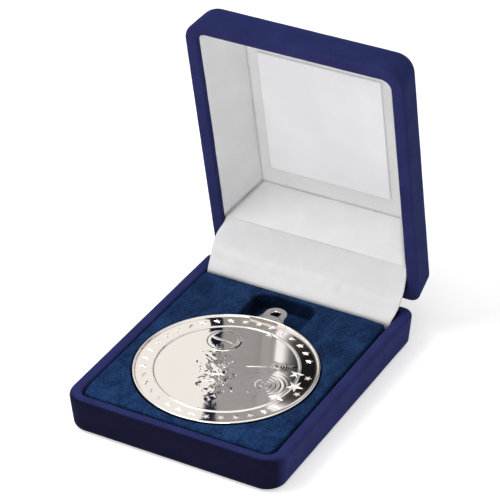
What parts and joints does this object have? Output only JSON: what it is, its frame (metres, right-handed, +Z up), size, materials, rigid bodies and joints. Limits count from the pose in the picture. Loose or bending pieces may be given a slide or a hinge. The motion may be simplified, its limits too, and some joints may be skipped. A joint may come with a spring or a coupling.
{
  "type": "boxed prize medal",
  "caption": "Round silver prize medal with a ribbon lug, resting in a velour insert inside a hinged velvet presentation case with a satin-lined lid.",
  "frame": {"origin": "centre of the case's underside", "axes": "+X case width to the right, -Y towards the case's front, +Y towards the hinge, +Z up"},
  "size_m": [0.0902, 0.1333, 0.1259],
  "materials": {
    "velvet": "navy velvet pile",
    "velour": "blue flocked velour",
    "satin": "white satin",
    "plaque": "pale gloss card",
    "card": "grey board",
    "foam": "open-cell foam",
    "shell": "moulded",
    "steel": "zinc plated",
    "spring": "spring steel",
    "silver": "polished silver plate"
  },
  "bodies": {
    "base": {"base_shell": "shell", "base_velvet_cover": "velvet", "underside_panel": "velvet", "hinge_leaf_base": "steel", "hinge_rivets_base": "steel", "insert_card": "card", "insert_foam": "foam", "insert_velour_face": "velour", "hinge_pin": "steel", "hinge_springs": "spring", "satin_hinge_strip": "satin"},
    "lid": {"lid_shell": "shell", "lid_velvet_cover": "velvet", "hinge_leaf_lid": "steel", "hinge_rivets_lid": "steel", "lid_liner_front": "satin", "lid_liner_back": "satin", "lid_liner_left": "satin", "lid_liner_right": "satin", "lid_ceiling_card": "satin", "lid_display_panel": "plaque"},
    "medal": {"medal": "silver"}
  },
  "joints": [
    {"name": "lid_hinge", "type": "hinge", "parent": "base", "child": "lid", "pos_m": [0, 0.0589, 0.013], "axis": [1, 0, 0], "range_deg": [-11, 79.2], "deforming": ["satin_hinge_strip", "hinge_springs"]},
    {"name": "medal_lift", "type": "slide", "parent": "base", "child": "medal", "axis": [0, 0, 1], "range_m": [0, 0.006]}
  ]
}
